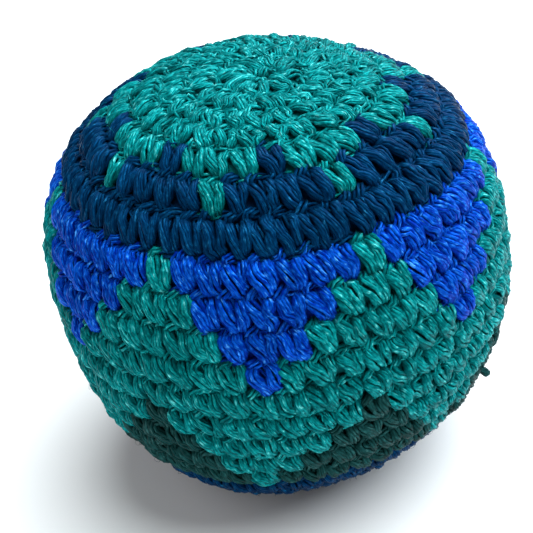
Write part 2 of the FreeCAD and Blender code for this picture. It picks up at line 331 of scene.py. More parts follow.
def transported(tangents, normal, start):
    """Carries a normal along each strand from its middle ring, without twisting it."""
    normals = np.zeros_like(tangents)
    middle = tangents[:, start]
    normals[:, start] = unit(normal - middle * np.sum(normal * middle, -1, keepdims=True))
    for order in (range(start + 1, tangents.shape[1]), range(start - 1, -1, -1)):
        previous = start
        for ring in order:
            carried = normals[:, previous]
            along = np.sum(carried * tangents[:, ring], -1, keepdims=True)
            normals[:, ring] = unit(carried - tangents[:, ring] * along)
            previous = ring
    return normals


def drifting(rng, strands, plies, rings, size):
    """Smooth random values along each ply: (strands, rings, plies)."""
    knots = max(3, rings // 3 + 1)
    values = rng.normal(0, size, (strands, knots, plies))
    at = np.linspace(0, knots - 1 - 1e-9, rings)
    low = at.astype(int)
    part = at - low
    part = (part * part * (3 - 2 * part))[None, :, None]
    return values[:, low] * (1 - part) + values[:, low + 1] * part


class Strands:
    """Gathers yarn strands into one mesh of closed plies, with each ply's own coordinates in a UV layer."""

    def __init__(self):
        self.verts, self.faces, self.uvs, self.tints, self.painted_shade_facings = [], [], [], [], []
        self.count = 0

    def add(self, rng, paths, normal, width, thickness, twist, tint, make):
        """Adds plied strands along paths (strands, rings, 3); width and thickness are (strands, rings)."""
        strands, rings, _ = paths.shape
        plies = make["plies"]
        tangents = unit(np.gradient(paths, axis=1))
        normals = transported(tangents, normal, rings // 2)
        sideways = np.cross(tangents, normals)
        steps = np.linalg.norm(np.diff(paths, axis=1), axis=-1)
        length = np.concatenate([np.zeros((strands, 1)), np.cumsum(steps, axis=1)], axis=1)
        turn = rng.uniform(0, math.tau, strands)[:, None] + twist * length * math.tau / TWIST_LENGTH
        turn = turn[:, :, None] + math.tau * np.arange(plies) / plies
        turn = turn + drifting(rng, strands, plies, rings, PLY_WANDER)
        reach = PLY_REACH * (1 + drifting(rng, strands, plies, rings, REACH_WANDER))
        across = (width[:, :, None] * reach * np.cos(turn))[..., None] * sideways[:, :, None, :]
        proud = (thickness[:, :, None] * reach * np.sin(turn))[..., None] * normals[:, :, None, :]
        plied = np.moveaxis(paths[:, :, None, :] + across + proud, 2, 1).reshape(strands * plies, rings, 3)
        away = np.moveaxis(unit(across + proud), 2, 1).reshape(strands * plies, rings, 3)
        ply_size = np.sqrt(width * thickness) * PLY_RADIUS
        ply_size = np.repeat(ply_size, plies, axis=0) * rng.normal(1, PLY_SIZE_SPREAD, (strands * plies, 1))
        # how far each ply faces out of the yarn, which sets its painted shade
        facing = np.moveaxis(np.sin(turn), 2, 1).reshape(strands * plies, rings)
        shade = np.repeat(tint, plies) + rng.normal(0, PLY_TINT_SPREAD, strands * plies)
        self.tubes(plied, away, ply_size, make["sides"], shade, facing)

    def tubes(self, paths, normals, size, sides, tint, facing):
        """Adds closed round tubes along paths (tubes, rings, 3); size is (tubes, rings)."""
        tubes, rings, _ = paths.shape
        tangents = unit(np.gradient(paths, axis=1))
        sideways = unit(np.cross(tangents, normals))
        angles = math.tau * np.arange(sides) / sides + math.pi / 2
        ring = (np.cos(angles)[None, None, :, None] * sideways[:, :, None, :]
                + np.sin(angles)[None, None, :, None] * normals[:, :, None, :])
        tube = paths[:, :, None, :] + size[:, :, None, None] * ring
        ends = np.stack([paths[:, 0], paths[:, -1]], axis=1)
        per = rings * sides + 2
        self.verts.append(np.concatenate([tube.reshape(tubes, -1, 3), ends], axis=1).reshape(-1, 3))
        self.tints.append(np.repeat(tint, per))
        # painted shade: points that face into the yarn, on the ply or round its own side, are coloured darker
        around = facing[:, :, None] + PLY_SIDE_SHADE * np.sin(angles)[None, None, :]
        proud = np.concatenate([around.reshape(tubes, -1), facing[:, [0, -1]]], axis=1)
        self.painted_shade_facings.append(proud.reshape(-1))
        length = np.linalg.norm(np.diff(paths, axis=1), axis=-1).cumsum(axis=1) / YARN_RADIUS
        length = np.concatenate([np.zeros((tubes, 1)), length], axis=1)
        base = self.count + per * np.arange(tubes)[:, None, None]
        for corners, (faces, pattern) in zip((4, 3), tube_faces(rings, sides)):
            self.faces.append((faces[None] + base).reshape(-1, corners))
            u = length[:, pattern[:, :, 0].astype(int)]
            v = np.broadcast_to(pattern[None, :, :, 1], u.shape)
            self.uvs.append(np.stack([u, v], -1).reshape(-1, corners, 2))
        self.count += tubes * per

    def mesh(self, name):
        """Writes the gathered strands as one mesh."""
        mesh = bpy.data.meshes.new(name)
        verts = np.concatenate(self.verts)
        verts[:, 2] = np.maximum(verts[:, 2], 0)   # yarn under the ball is pressed flat on the ground
        sizes = np.concatenate([np.full(len(f), f.shape[1]) for f in self.faces])
        corners = np.concatenate([f.reshape(-1) for f in self.faces])
        uvs = np.concatenate([uv.reshape(-1, 2) for uv in self.uvs])
        mesh.vertices.add(len(verts))
        mesh.vertices.foreach_set("co", verts.reshape(-1))
        mesh.loops.add(len(corners))
        mesh.loops.foreach_set("vertex_index", corners)
        mesh.polygons.add(len(sizes))
        starts = np.concatenate([[0], np.cumsum(sizes)[:-1]])
        mesh.polygons.foreach_set("loop_start", starts)
        mesh.polygons.foreach_set("use_smooth", np.ones(len(sizes), bool))
        mesh.update(calc_edges=True)
        layer = mesh.uv_layers.new(name="yarn")
        layer.data.foreach_set("uv", uvs.reshape(-1))
        # the proud attribute holds how far each point faces out of the yarn, for the painted shade
        for kind, values in (("tint", self.tints), ("proud", self.painted_shade_facings)):
            attribute = mesh.attributes.new(kind, "FLOAT", "POINT")
            attribute.data.foreach_set("value", np.concatenate(values))
        mesh.validate()
        return mesh


def tube_faces(rings, sides):
    """Quads along a tube and fans over its ends, with (ring, place round the yarn) for every corner."""
    quads, quad_uv = [], []
    for ring in range(rings - 1):
        for side in range(sides):
            after = (side + 1) % sides
            quads.append((ring * sides + side, ring * sides + after,
                          (ring + 1) * sides + after, (ring + 1) * sides + side))
            low, high = side / sides, (side + 1) / sides
            quad_uv.append(((ring, low), (ring, high), (ring + 1, high), (ring + 1, low)))
    start, end = rings * sides, rings * sides + 1
    caps, cap_uv = [], []
    for side in range(sides):
        after = (side + 1) % sides
        low, high = side / sides, (side + 1) / sides
        caps.append((start, after, side))
        cap_uv.append(((0, low), (0, high), (0, low)))
        foot = (rings - 1) * sides
        caps.append((end, foot + side, foot + after))
        cap_uv.append(((rings - 1, low), (rings - 1, low), (rings - 1, high)))
    return (np.array(quads), np.array(quad_uv)), (np.array(caps), np.array(cap_uv))


def taper(rings, ends, middle, power=0.6):
    """Relative size along a strand: small at the hidden ends and full between them."""
    t = np.linspace(0, 1, rings)
    return ends + (middle - ends) * np.sin(math.pi * t) ** power


# ---------------------------------------------------------------- stitches
# Control points of a stitch's strands: across the stitch (-0.5 to 0.5), down the round (0 to 1) and
# height above the cover in yarn radii
LEFT_LEG = ((-0.38, -0.01, -3.0), (-0.37, 0.05, -1.8), (-0.30, 0.16, -1.0), (-0.15, 0.37, -0.86),
            (0.00, 0.58, -0.95), (0.10, 0.75, -1.45), (0.15, 0.86, -3.0))
RIGHT_LEG = ((0.27, -0.04, -3.0), (0.28, 0.02, -1.8), (0.29, 0.15, -1.0), (0.30, 0.37, -0.88),
             (0.29, 0.58, -1.0), (0.28, 0.74, -1.5), (0.26, 0.86, -3.0))
TOP_LOOP = ((-0.56, 0.13, -2.8), (-0.46, 0.03, -1.9), (-0.30, -0.08, -1.45), (-0.13, -0.18, -1.8),
            (-0.03, -0.24, -2.8))
UNDER_LOOP = ((-0.65, 0.90, -2.3), (-0.33, 0.86, -2.1), (0.0, 0.88, -2.05), (0.33, 0.86, -2.1),
              (0.65, 0.90, -2.3))
NOTCH = ((0.00, -0.12, -2.5), (0.02, 0.06, -1.85), (0.05, 0.26, -1.75), (0.08, 0.46, -2.0),
         (0.10, 0.60, -2.6))   # the yarn seen between the tops of the legs
CARRIED = ((-0.75, 0.20, -2.6), (-0.35, 0.19, -2.1), (0.0, 0.16, -1.95), (0.35, 0.19, -2.1),
           (0.75, 0.20, -2.6))

# Each leg's path, width, thickness and twist, with the sizes as shares of the yarn's radius
LEGS = ((LEFT_LEG, 1.22, 0.84, 0.6), (RIGHT_LEG, 1.10, 0.84, 1.7))


def column(stitches, key):
    return np.array([s[key] for s in stitches])[:, None]


def strand_paths(rng, stitches, shape, samples, slack):
    """Paths in space for one kind of strand in some stitches, and the cover's normals at their middles."""
    shape = np.broadcast_to(np.array(shape), (len(stitches), *np.array(shape).shape[-2:]))
    slack = np.array(slack) * column(stitches, "loose")[:, None]
    own = rng.normal(0, 1, shape.shape) * slack
    shared = rng.normal(0, 1, (len(stitches), 1, 3)) * slack
    local = shape + own + shared
    placed = np.stack([
        column(stitches, "longitude") + local[..., 0] * column(stitches, "spread") * column(stitches, "step"),
        column(stitches, "start") + local[..., 1] * column(stitches, "height"),
        local[..., 2] * YARN_RADIUS * column(stitches, "relief"),
    ], axis=-1)
    fine = smooth_path(placed, samples)
    middle = fine[:, samples // 2]
    return on_cover(fine[..., 0], fine[..., 1], fine[..., 2]), outward(middle[:, 0], middle[:, 1])


def stitch_relief(number, colour):
    if number < FIRST_POINTS:
        return STAR_RELIEF
    return PETROL_RELIEF if number <= CROWN_ROUNDS and colour == "petrol" else SIDE_RELIEF


def stitches_where(rounds, colour):
    """Every stitch of a colour in some rounds."""
    found = []
    for number in rounds:
        count = stitch_count(number)
        for index in range(count):
            if colour == stitch_colour(number, index):
                found.append({
                    "index": index,
                    "longitude": stitch_longitude(number, index),
                    "step": 360 / count,
                    "start": EDGES[number - 1],
                    "height": EDGES[number] - EDGES[number - 1],
                    "loose": CROWN_LOOSENESS if number < FIRST_POINTS else 1.0,
                    "spread": CROWN_SPREAD if number <= CROWN_ROUNDS else 1.0,
                    "relief": stitch_relief(number, colour),
                })
    return found


def worked_yarn(name, stitches, seed, carried=()):
    """One piece of worked yarn: the legs and loops of its stitches, and the yarn carried inside others."""
    rng = np.random.default_rng(seed)
    strands = Strands()
    count = len(stitches)
    tint = rng.uniform(0, 1, count)
    radius_here = meridian(column(stitches, "start") + column(stitches, "height") / 2)[0]
    wide = np.radians(column(stitches, "step")) * radius_here / FULL_STITCH_WIDTH
    slender = np.where(column(stitches, "spread") > 1, CROWN_LEG_WIDTH, 1.0)
    snug = np.clip(wide, *SNUG_LIMITS) * slender
    relief = column(stitches, "relief")
    for shape, width, thick, twist in LEGS:
        paths, normal = strand_paths(rng, stitches, shape, LEG["rings"], LEG_SLACK)
        size = taper(LEG["rings"], 0.80, 1.0, 0.40)[None] * YARN_RADIUS
        size = size * rng.normal(1, LEG_SIZE_SPREAD, (count, 1))
        strands.add(rng, paths, normal, size * width * snug, size * thick * relief ** 0.7, twist, tint, LEG)
    loops = ((TOP_LOOP, stitches, 0.86, LOOP), (UNDER_LOOP, stitches, 0.85, FILLING),
             (NOTCH, stitches, 0.85, FILLING), (CARRIED, list(carried), 0.5, LOOP))
    for shape, these, size, make in loops:
        if these:
            paths, normal = strand_paths(rng, these, shape, make["rings"], LOOP_SLACK)
            size = taper(make["rings"], 0.8, 1.0)[None] * YARN_RADIUS * size * np.ones((len(these), 1))
            strands.add(rng, paths, normal, size, size, LOOP_TWIST, rng.uniform(0, 1, len(these)), make)
    stray_fibres(rng, stitches, strands)
    return linked(name, strands.mesh(name))


def stray_fibres(rng, stitches, strands):
    """Single fibres that have worked loose and arch over the yarn."""
    chosen = [s for s in stitches for _ in range(CROWN_STRAY_FIBRES if s["loose"] > 1 else STRAY_FIBRES)]
    shape = np.zeros((len(chosen), len(FIBRE_COURSE), 3))
    heading = rng.uniform(0, math.tau, len(chosen))
    reach = rng.uniform(*FIBRE_REACH, len(chosen))
    for point, share in enumerate(FIBRE_COURSE):
        shape[:, point, 0] = reach * np.cos(heading) * share
        shape[:, point, 1] = reach * np.sin(heading) * share
    shape[:, :, :2] += rng.uniform(*FIBRE_STARTS, (len(chosen), 2))[:, None, :]
    lift = rng.gamma(*FIBRE_LIFT, len(chosen))
    shape[:, :, 2] = FIBRE_ROOT + (FIBRE_RISE + lift)[:, None] * np.array(FIBRE_ARCH)
    paths, normal = strand_paths(rng, chosen, shape, FIBRE_RINGS, FIBRE_SLACK)
    tangents = unit(np.gradient(paths, axis=1))
    normals = transported(tangents, normal, FIBRE_RINGS // 2)
    size = np.full(paths.shape[:2], FIBRE_RADIUS)
    tint = rng.uniform(0.2, 1.0, len(chosen))
    # each stray fibre counts as facing fully out, so it takes the light end of the painted shade
    strands.tubes(paths, normals, size, FIBRE_SIDES, tint, np.ones(paths.shape[:2]))


# ---------------------------------------------------------------- materials
# Linear colours of the yarns: painted shade between fibres, the yarn's own colour on the plies' sides, a
# painted highlight on their tops and painted glints on the brightest fibres
YARNS = {
    "green": ((0.000, 0.066, 0.074), (0.000, 0.106, 0.114), (0.003, 0.285, 0.290), (0.160, 0.690, 0.685)),
    "petrol": ((0.000, 0.014, 0.044), (0.000, 0.018, 0.063), (0.001, 0.043, 0.122), (0.012, 0.130, 0.270)),
    "blue": ((0.000, 0.011, 0.145), (0.000, 0.021, 0.270), (0.003, 0.100, 0.550), (0.090, 0.400, 0.920)),
    "slate": ((0.003, 0.019, 0.018), (0.005, 0.035, 0.034), (0.012, 0.074, 0.074), (0.060, 0.170, 0.165)),
}
SHADE_STOPS = (0.36, 0.64, 0.83, 0.97)
BACKING_SHARE = 1.1         # brightness beside the sides of the local yarn's plies, a little above them as painted light that lifts the gaps' shade
BACKING_RINGS = 120
BACKING_SIDES = 224
BACKING_HOLE = 0.6 * MM     # from either pole to the first ring
BACKING_DEPTH = 1.85        # in yarn radii
CROWN_FILL = 0.7            # how much less deep it lies in the crown
CROWN_FILL_END = 1.3        # and the length from the pole where that ends, in SHIFT_REACH
CROWN_BACKING_LIGHT = 0.6   # how far its colour in the crown is painted lighter, from the plies' sides towards the painted highlight of their tops
# The tie's colours in the yarns' order: painted shade, its own colour, a painted highlight and painted glints
TIE_SHADES = ((0.30, 0.26, 0.20), (0.50, 0.45, 0.36), (0.70, 0.65, 0.55), (0.80, 0.76, 0.68))
METALLIC_LUSTRE = 0.25      # the dyed fibres' highlights take the dye's colour, as a metal's do


class Nodes:
    """Short ways to add and join shader nodes in one material."""

    def __init__(self, name):
        self.material = bpy.data.materials.new(name)
        self.material.use_nodes = True
        self.tree = self.material.node_tree
        self.shader = self.tree.nodes["Principled BSDF"]

    def add(self, kind, inputs=(), **settings):
        """A node with settings, and inputs given as (socket, value or output)."""
        node = self.tree.nodes.new(kind)
        for key, value in settings.items():
            setattr(node, key, value)
        for socket, value in inputs:
            self.put(node.inputs[socket], value)
        return node

    def put(self, socket, value):
        if isinstance(value, bpy.types.NodeSocket):
            self.tree.links.new(value, socket)
        else:
            socket.default_value = value

    def maths(self, operation, *values):
        return self.add("ShaderNodeMath", list(enumerate(values)), operation=operation).outputs[0]

    def ramp(self, factor, stops):
        """A colour ramp with stops given as (position, linear colour)."""
        node = self.add("ShaderNodeValToRGB", [("Fac", factor)])
        elements = node.color_ramp.elements
        while len(elements) < len(stops):
            elements.new(0.5)
        for element, (position, colour) in zip(elements, stops):
            element.position = position
            element.color = (*colour, 1)
        return node.outputs["Color"]

    def noise(self, vector, scale, detail, roughness=0.5):
        inputs = [("Vector", vector), ("Scale", scale), ("Detail", detail), ("Roughness", roughness)]
        return self.add("ShaderNodeTexNoise", inputs).outputs["Fac"]


def yarn_material(name, valley_shade, side, crest_highlight, glint_highlight):
    """Plied mercerised cotton: fine fibres run along each ply, with painted shade where it turns under the
    yarn and painted highlights and glints on its top.
    """
    nodes = Nodes(name)
    uv = nodes.add("ShaderNodeUVMap", uv_map="yarn").outputs["UV"]
    tint = nodes.add("ShaderNodeAttribute", attribute_name="tint").outputs["Fac"]
    proud = nodes.add("ShaderNodeAttribute", attribute_name="proud").outputs["Fac"]
    split = nodes.add("ShaderNodeSeparateXYZ", [("Vector", uv)])
    along, around = split.outputs["X"], split.outputs["Y"]
    seed = nodes.maths("MULTIPLY", tint, 61.0)
    fibre_place = nodes.add("ShaderNodeCombineXYZ", [
        ("X", nodes.maths("MULTIPLY", along, 0.8)),
        ("Y", nodes.maths("MULTIPLY", around, 11.0)),
        ("Z", seed),
    ]).outputs["Vector"]
    fibres = nodes.noise(fibre_place, 1.0, 3.0, 0.6)
    glint_place = nodes.add("ShaderNodeCombineXYZ", [
        ("X", nodes.maths("MULTIPLY", along, 1.3)),
        ("Y", nodes.maths("MULTIPLY", around, 3.0)),
        ("Z", seed),
    ]).outputs["Vector"]
    glints = nodes.noise(glint_place, 1.0, 2.0)
    # painted light: plies facing into the yarn take the painted shade, and the noise puts painted highlights
    # and glints on their tops
    height = nodes.maths("ADD", nodes.maths("MULTIPLY", proud, 0.12), nodes.maths("MULTIPLY", fibres, 0.45))
    height = nodes.maths("ADD", height, nodes.maths("MULTIPLY", glints, 0.75))
    colour = nodes.ramp(height, list(zip(SHADE_STOPS, (valley_shade, side, crest_highlight, glint_highlight))))
    light = nodes.maths("ADD", nodes.maths("MULTIPLY", tint, 0.30), 0.85)
    colour = nodes.add("ShaderNodeVectorMath", [(0, colour), (3, light)], operation="SCALE").outputs["Vector"]
    nodes.put(nodes.shader.inputs["Base Color"], colour)
    bump = nodes.add("ShaderNodeBump", [("Strength", 0.6), ("Distance", 0.05 * MM), ("Height", fibres)])
    nodes.put(nodes.shader.inputs["Normal"], bump.outputs["Normal"])
    nodes.put(nodes.shader.inputs["Metallic"], METALLIC_LUSTRE)
    nodes.put(nodes.shader.inputs["Roughness"], 0.36)
    nodes.put(nodes.shader.inputs["Specular IOR Level"], 0.05)
    nodes.put(nodes.shader.inputs["Specular Tint"], (*(min(1.0, 1.6 * c) for c in crest_highlight), 1))
    return nodes.material


def backing_material():
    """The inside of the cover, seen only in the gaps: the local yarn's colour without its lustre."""
    nodes = Nodes("cover_backing")
    local = nodes.add("ShaderNodeAttribute", attribute_name="yarn_colour_and_painted_light").outputs["Color"]
    place = nodes.add("ShaderNodeTexCoord").outputs["Object"]
    felt = nodes.noise(place, 900.0, 4.0)
    # painted light: the felt's random tone is scaled to a little above the local colour, lifting the shade in
    # the gaps
    share = nodes.maths("ADD", nodes.maths("MULTIPLY", felt, BACKING_SHARE), BACKING_SHARE / 2)
    colour = nodes.add("ShaderNodeVectorMath", [(0, local), (3, share)], operation="SCALE").outputs["Vector"]
    nodes.put(nodes.shader.inputs["Base Color"], colour)
    nodes.put(nodes.shader.inputs["Roughness"], 0.9)
    nodes.put(nodes.shader.inputs["Specular IOR Level"], 0.1)
    return nodes.material


MATERIALS = {name: yarn_material(name + "_yarn", *shades) for name, shades in YARNS.items()}


# ---------------------------------------------------------------- objects and turned forms
def linked(name, data):
    """A new object in the scene."""
    thing = bpy.data.objects.new(name, data)
    bpy.context.scene.collection.objects.link(thing)
    return thing


def turned_faces(rings, sides):
    """Faces of a closed form: quads between rings, and fans to one vertex above them and one below."""
    faces = []
    for ring in range(rings - 1):
        for side in range(sides):
            after = (side + 1) % sides
            faces.append((ring * sides + side, (ring + 1) * sides + side,
                          (ring + 1) * sides + after, ring * sides + after))
    top, foot = rings * sides, rings * sides + 1
    for side in range(sides):
        after = (side + 1) % sides
        faces.append((top, side, after))
        faces.append((foot, (rings - 1) * sides + after, (rings - 1) * sides + side))
    return faces


# ---------------------------------------------------------------- the cover
def dress(piece, colour, *nodes):
    """Gives a piece its yarn, its body and the CAD nodes that it stands for."""
    piece.data.materials.append(MATERIALS[colour])
    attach(piece, "root")
    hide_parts(*nodes)


# Each field's yarn and CAD node, and the pieces it is worked in: name, first round and last round
FIELDS = (
    ("green", "crown_star", (
        ("star_centre", 1, 3), ("star_round_4", 4, 4), ("star_points", 5, 6))),
    ("petrol", "upper_petrol_band", (
        ("petrol_star_gaps", 5, 6), ("petrol_round", 7, 7))),
    ("green", "green_zigzag_band", (
        ("zigzag_peaks", 8, 9), ("zigzag_round_10", 10, 10), ("zigzag_upper_round", 11, 11),
        ("zigzag_middle_round", 12, 12), ("zigzag_lower_round", 13, 13), ("zigzag_points", 14, 16))),
    ("petrol", "lower_petrol_base", (
        ("base_round_17", 17, 17), ("base_round_18", 18, 18), ("base_round_19", 19, 19),
        ("base_round_20", 20, 20), ("base_rounds_21_22", 21, 22), ("base_centre", 23, LAST_ROUND))),
)


def cover():
    """All worked yarn, in pieces small enough to keep every ply."""
    seeds = iter(COVER_SEEDS)
    for colour, node, pieces in FIELDS:
        for name, first, last in pieces:
            rounds = range(first, last + 1)
            own = stitches_where(rounds, colour)
            carried = stitches_where(rounds, "blue") if colour == "green" else ()
            dress(worked_yarn(name, own, next(seeds), carried), colour, node)
    stitches_in_repeat = FULL_ROUND // REPEATS
    for colour, first, offset in (("blue", FIRST_BLUE, 0), ("slate", FIRST_SLATE, stitches_in_repeat // 2)):
        every = stitches_where(range(first, first + len(TRIANGLE_WIDTHS)), colour)
        for repeat in range(REPEATS):
            centre = repeat * stitches_in_repeat + offset
            own = [s for s in every
                   if abs(wrapped(s["index"] - centre, FULL_ROUND)) < stitches_in_repeat / 2]
            name = f"{colour}_triangle_{repeat + 1}"
            dress(worked_yarn(name + "_yarn", own, next(seeds)), colour, name)


def colour_at(longitude, length):
    """Which yarn is worked at a place on the cover."""
    number = int(np.clip(np.searchsorted(EDGES, length), 1, LAST_ROUND))
    step = 360 / stitch_count(number)
    index = round((longitude - stitch_longitude(number, 0)) / step)
    return stitch_colour(number, index)


def backing():
    """The inside of the cover as one closed crowned form, just under the stitches."""
    lengths = np.linspace(BACKING_HOLE, MERIDIAN_LENGTH - BACKING_HOLE, BACKING_RINGS)
    crown_fill = np.clip(CROWN_FILL_END - lengths / SHIFT_REACH, 0, CROWN_FILL)
    inset = (crown_fill - BACKING_DEPTH) * YARN_RADIUS
    longitudes = np.linspace(0, 360, BACKING_SIDES, endpoint=False)
    lon, length = np.meshgrid(longitudes, lengths)
    points = on_cover(lon, length, np.repeat(inset[:, None], BACKING_SIDES, axis=1))
    top, bottom = points[0].mean(axis=0), points[-1].mean(axis=0)
    points = points.reshape(-1, 3)
    mesh = bpy.data.meshes.new("cover_backing")
    verts = [tuple(p) for p in points] + [tuple(top), tuple(bottom)]
    mesh.from_pydata(verts, [], turned_faces(BACKING_RINGS, BACKING_SIDES))
    mesh.polygons.foreach_set("use_smooth", np.ones(len(mesh.polygons), bool))
    colours = [colour_at(float(a), float(b)) for a, b in zip(lon.ravel(), length.ravel())]
    colours += ["green", "petrol"]
    shades = np.array([YARNS[colour][1] for colour in colours])
    crest_highlights = np.array([YARNS[colour][2] for colour in colours])
    # painted light: in the crown the backing's colour moves towards the painted highlight colour, as if in
    # light
    painted_light_share = CROWN_BACKING_LIGHT * np.append(np.repeat(crown_fill / CROWN_FILL, BACKING_SIDES), (1, 0))[:, None]
    shades = np.append(shades + (crest_highlights - shades) * painted_light_share, np.ones((len(shades), 1)), axis=1)
    layer = mesh.attributes.new("yarn_colour_and_painted_light", "FLOAT_COLOR", "POINT")
    layer.data.foreach_set("color", shades.ravel())
    piece = linked("cover_backing", mesh)
    mesh.materials.append(backing_material())
    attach(piece, "root")


def yarn_length(name, longitude, length, height, radius, colour, node, seed):
    """One plied length of yarn through places on the cover, as a piece that stands for a CAD node."""
    rng = np.random.default_rng(seed)
    rings = 6 * len(longitude)
    places = np.stack([longitude, length, height], axis=-1)[None]
    fine = smooth_path(places, rings)
    paths = on_cover(fine[..., 0], fine[..., 1], fine[..., 2])
    middle = fine[:, rings // 2]
    strands = Strands()
    size = taper(rings, 0.7, 1.0, 0.3)[None] * radius
    normal = outward(middle[:, 0], middle[:, 1])
    strands.add(rng, paths, normal, size, size, LOOP_TWIST, np.array([0.5]), LEG)
    dress(linked(name, strands.mesh(name)), colour, node)


def ends_of_yarn():
    """The drawn-in rings at both poles, and the cut end that pokes out near the base."""
    turn = np.linspace(0, 1, 11)
    crown_ring = np.full_like(turn, RING_RADIUS)
    yarn_length("closing_ring_yarn", RING_SWEEP * turn, crown_ring,
                (-1.5 - 0.6 * turn) * YARN_RADIUS, RING_YARN_RADIUS,
                "green", "closing_ring", CLOSING_RING_SEED)
    yarn_length("starting_loop_yarn", RING_SWEEP * turn, MERIDIAN_LENGTH - crown_ring,
                (-0.9 - 0.5 * turn) * YARN_RADIUS, RING_YARN_RADIUS,
                "petrol", "starting_loop", STARTING_LOOP_SEED)
    middle = (EDGES[TAIL_ROUND - 1] + EDGES[TAIL_ROUND]) / 2
    bend = np.array((0.0, 0.0, 0.3, 0.9, 1.3))
    yarn_length("yarn_tail_end", TAIL_LONGITUDE + 0.6 * bend, middle + 0.5 * MM * bend,
                np.array((-2.8, -1.2, 0.0, 0.6, 0.9)) * YARN_RADIUS, TAIL_RADIUS,
                "slate", "yarn_tail", TAIL_SEED)


# ---------------------------------------------------------------- inside the cover
def cloth_material():
    """Plain-woven calico: threads over and under, slightly uneven."""
    nodes = Nodes("liner_calico")
    place = nodes.add("ShaderNodeUVMap", uv_map="weave").outputs["UV"]
    split = nodes.add("ShaderNodeSeparateXYZ", [("Vector", place)])
    across = nodes.maths("SINE", nodes.maths("MULTIPLY", split.outputs["X"], math.pi))
    along = nodes.maths("SINE", nodes.maths("MULTIPLY", split.outputs["Y"], math.pi))
    weave = nodes.maths("ADD", nodes.maths("MULTIPLY", nodes.maths("MULTIPLY", across, along), 0.5), 0.5)
    slub = nodes.noise(place, 0.35, 3.0)
    shade = nodes.maths("ADD", nodes.maths("MULTIPLY", weave, 0.4), nodes.maths("MULTIPLY", slub, 0.6))
    colour = nodes.ramp(shade, [(0.2, (0.42, 0.38, 0.31)), (0.8, (0.72, 0.68, 0.60))])
    nodes.put(nodes.shader.inputs["Base Color"], colour)
    bump = nodes.add("ShaderNodeBump", [("Strength", 0.5), ("Distance", 0.1 * MM), ("Height", weave)])
    nodes.put(nodes.shader.inputs["Normal"], bump.outputs["Normal"])
    nodes.put(nodes.shader.inputs["Roughness"], 0.85)
    return nodes.material


def liner_outline():
    """Radius and height of the pouch, from its crown to its tied neck and the cloth under it."""
    lengths = np.linspace(0, MERIDIAN_LENGTH - LINER_DIMPLE_RADIUS, 90)
    radius, height = meridian(lengths)
    out_r, out_z = meridian_normal(lengths)
    side_r = np.maximum(radius - LINER_INSET * out_r, 0)
    side_z = np.maximum(height - LINER_INSET * out_z, LINER_INSET)
    gathered = ((6.4, 0.0), (5.2, 0.9), (3.8, 2.2), (2.5, 3.6), (1.7, 5.0), (1.5, 5.6))
    dimple = [(r * MM, LINER_INSET + z * MM) for r, z in gathered]
    foot = [(LINER_NECK_RADIUS, LINER_NECK_HEIGHT), (1.9 * MM, LINER_NECK_HEIGHT - 1.2 * MM),
            (2.2 * MM, LINER_INSET + 0.7 * MM), (0.6 * MM, LINER_INSET + 0.7 * MM)]
    return np.array(list(zip(side_r, side_z)) + dimple + foot)


def turned_piece(name, outline, sides, gathers, depth, material):
    """A closed cloth form turned round Z, with gathers that run out from its neck."""
    angle = math.tau * np.arange(sides) / sides
    radius = outline[1:, 0][:, None]
    height = outline[1:, 1][:, None]
    closeness = np.exp(-radius / GATHER_REACH) * (height < EQUATOR_Z)
    ripple = depth * closeness * np.sin(gathers * angle + 0.8 * np.sin(3 * angle))
    ripple = ripple * np.minimum(1, radius / GATHER_START)
    rings = np.stack([(radius + ripple) * np.sin(angle), -(radius + ripple) * np.cos(angle),
                      np.repeat(height, sides, axis=1)], axis=-1)
    count = len(outline) - 1
    verts = [tuple(v) for v in rings.reshape(-1, 3)]
    verts += [(0, 0, outline[0, 1]), (0, 0, outline[-1, 1])]
    faces = turned_faces(count, sides)
    mesh = bpy.data.meshes.new(name)
    mesh.from_pydata(verts, [], faces)
    mesh.polygons.foreach_set("use_smooth", np.ones(len(faces), bool))
    layer = mesh.uv_layers.new(name="weave")
    steps = np.hypot(*np.diff(outline, axis=0).T).cumsum() / THREAD_PITCH
    corner = np.zeros(len(mesh.loops), int)
    mesh.loops.foreach_get("vertex_index", corner)
    coordinates = [(v[0] / THREAD_PITCH, v[1] / THREAD_PITCH + steps[min(i // sides, count - 1)])
                   for i, v in enumerate(verts)]
    layer.data.foreach_set("uv", np.array(coordinates)[corner].reshape(-1))
    piece = linked(name, mesh)
    mesh.materials.append(material)
    return piece


def pellet_material():
    """Moulded polypropylene pellets: milky, with faint flow marks."""
    nodes = Nodes("pellet_polypropylene")
    place = nodes.add("ShaderNodeTexCoord").outputs["Object"]
    marks = nodes.noise(place, 420.0, 3.0)
    colour = nodes.ramp(marks, [(0.3, (0.62, 0.62, 0.58)), (0.7, (0.78, 0.78, 0.75))])
    nodes.put(nodes.shader.inputs["Base Color"], colour)
    bump = nodes.add("ShaderNodeBump", [("Strength", 0.2), ("Distance", 0.05 * MM), ("Height", marks)])
    nodes.put(nodes.shader.inputs["Normal"], bump.outputs["Normal"])
    nodes.put(nodes.shader.inputs["Roughness"], 0.38)
    return nodes.material


def pouch_of_cloth():
    """The liner that keeps the fill from leaking through the stitches."""
    pouch = turned_piece("liner_pouch_cloth", liner_outline(), sides=180, gathers=26, depth=0.35 * MM,
                         material=cloth_material())
    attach(pouch, "root")
    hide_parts("liner_pouch")


